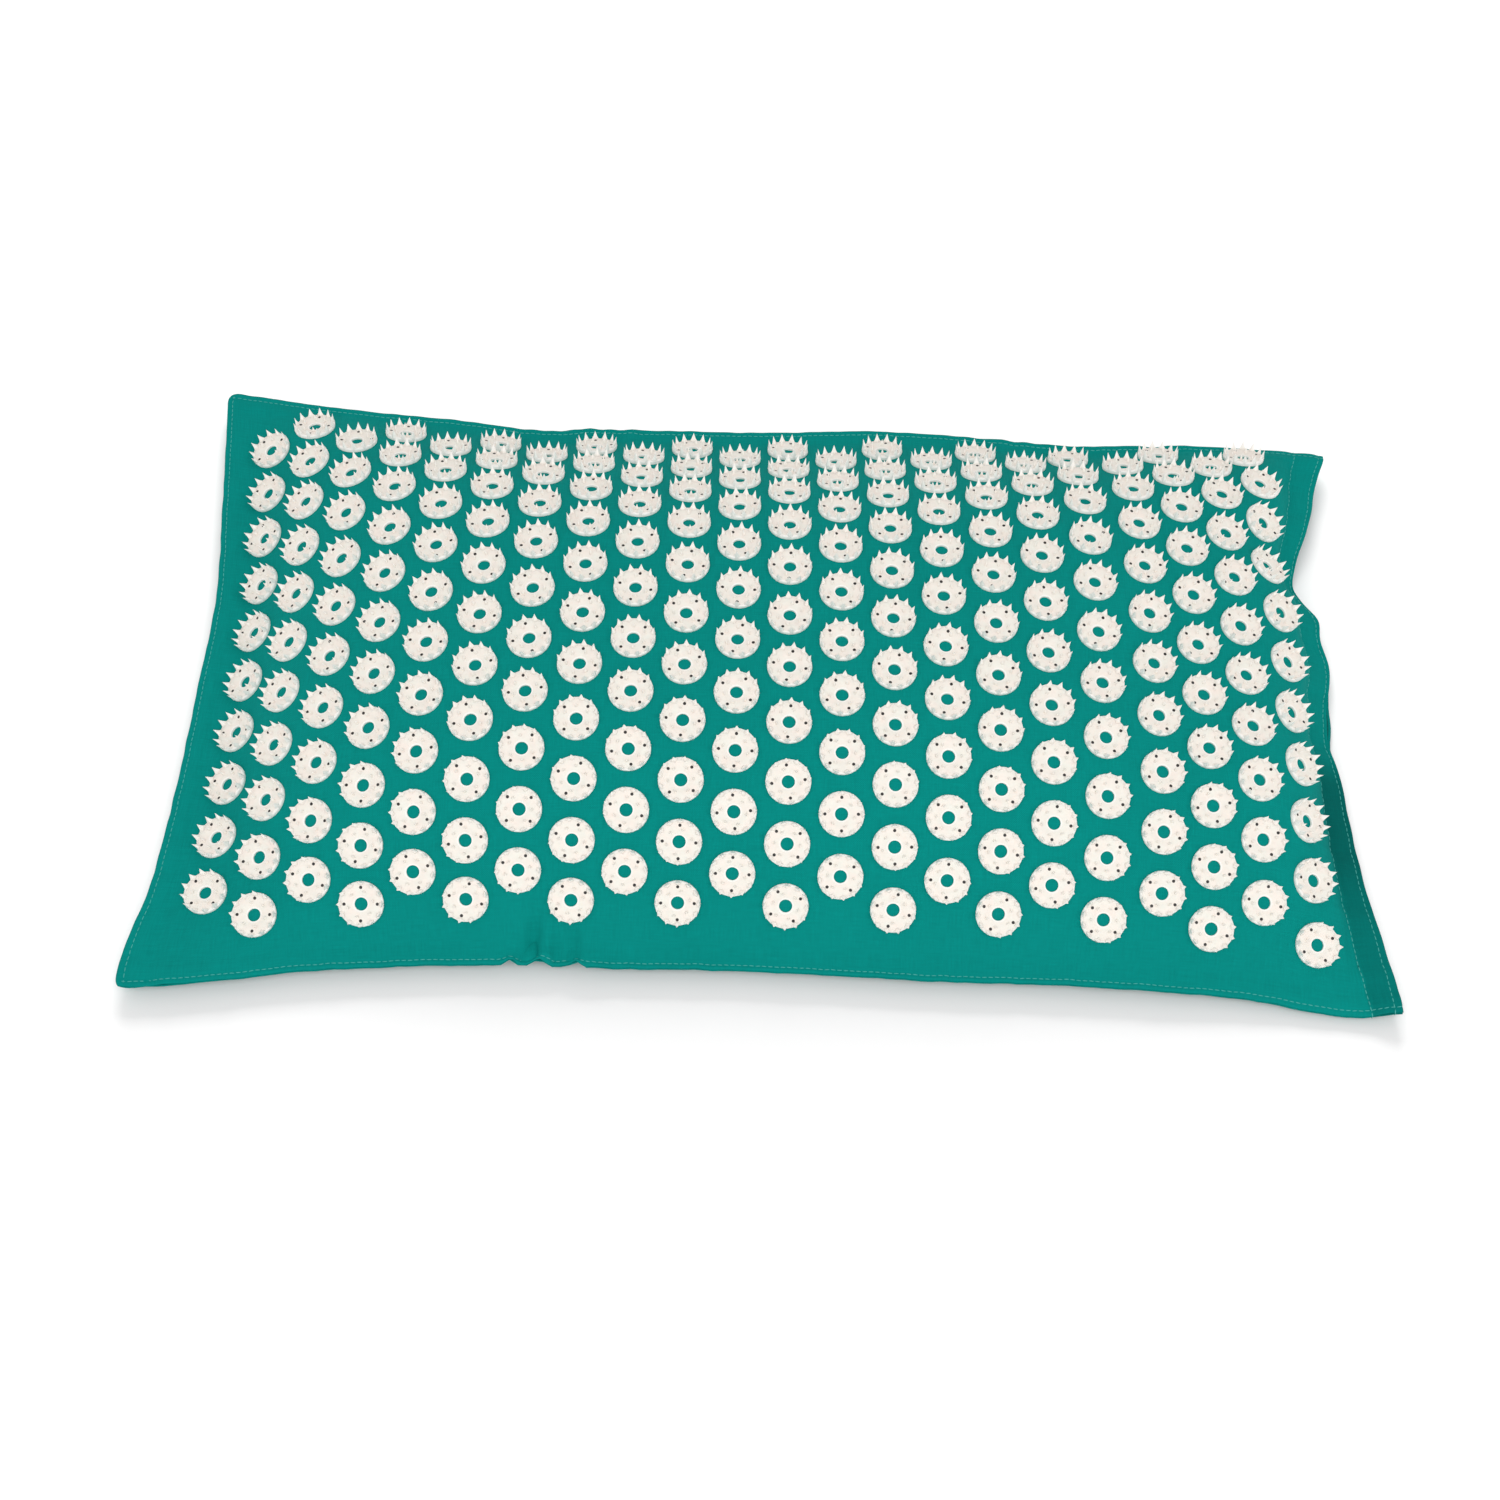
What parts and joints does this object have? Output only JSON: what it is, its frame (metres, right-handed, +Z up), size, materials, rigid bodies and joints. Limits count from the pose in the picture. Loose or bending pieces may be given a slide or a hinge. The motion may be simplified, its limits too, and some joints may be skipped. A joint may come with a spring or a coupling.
{
  "type": "acupressure mat",
  "caption": "Long crowned mat: a sewn cloth cover with an open hook-and-loop mouth over a soft foam pad, its top set with staggered round spiked discs.",
  "frame": {"origin": "centre of the mat's bounding box on the plane it lies on", "axes": "+X along the mat's length, towards the open mouth; +Y towards the back long edge; +Z up, out of the spiked face"},
  "size_m": [0.69, 0.4031, 0.0808],
  "materials": {
    "cover_cloth": "matte plain-weave cotton",
    "foam": "matte open-cell foam",
    "loop_tape": "brushed loop pile",
    "hook_tape": "woven tape with hooks",
    "disc_plastic": "satin moulded plastic"
  },
  "bodies": {
    "root": {"cover_top_panel": "cover_cloth", "cover_bottom_panel": "cover_cloth", "foam_pad": "foam", "mouth_loop_tape": "loop_tape", "mouth_hook_tape": "hook_tape", "spike_disc_column_01": "disc_plastic", "spike_disc_column_02": "disc_plastic", "spike_disc_column_03": "disc_plastic", "spike_disc_column_04": "disc_plastic", "spike_disc_column_05": "disc_plastic", "spike_disc_column_06": "disc_plastic", "spike_disc_column_07": "disc_plastic", "spike_disc_column_08": "disc_plastic", "spike_disc_column_09": "disc_plastic", "spike_disc_column_10": "disc_plastic", "spike_disc_column_11": "disc_plastic", "spike_disc_column_12": "disc_plastic", "spike_disc_column_13": "disc_plastic", "spike_disc_column_14": "disc_plastic", "spike_disc_column_15": "disc_plastic", "spike_disc_column_16": "disc_plastic", "spike_disc_column_17": "disc_plastic", "spike_disc_column_18": "disc_plastic", "spike_disc_column_19": "disc_plastic", "spike_disc_column_20": "disc_plastic", "spike_disc_column_21": "disc_plastic", "spike_disc_column_22": "disc_plastic"}
  },
  "joints": []
}
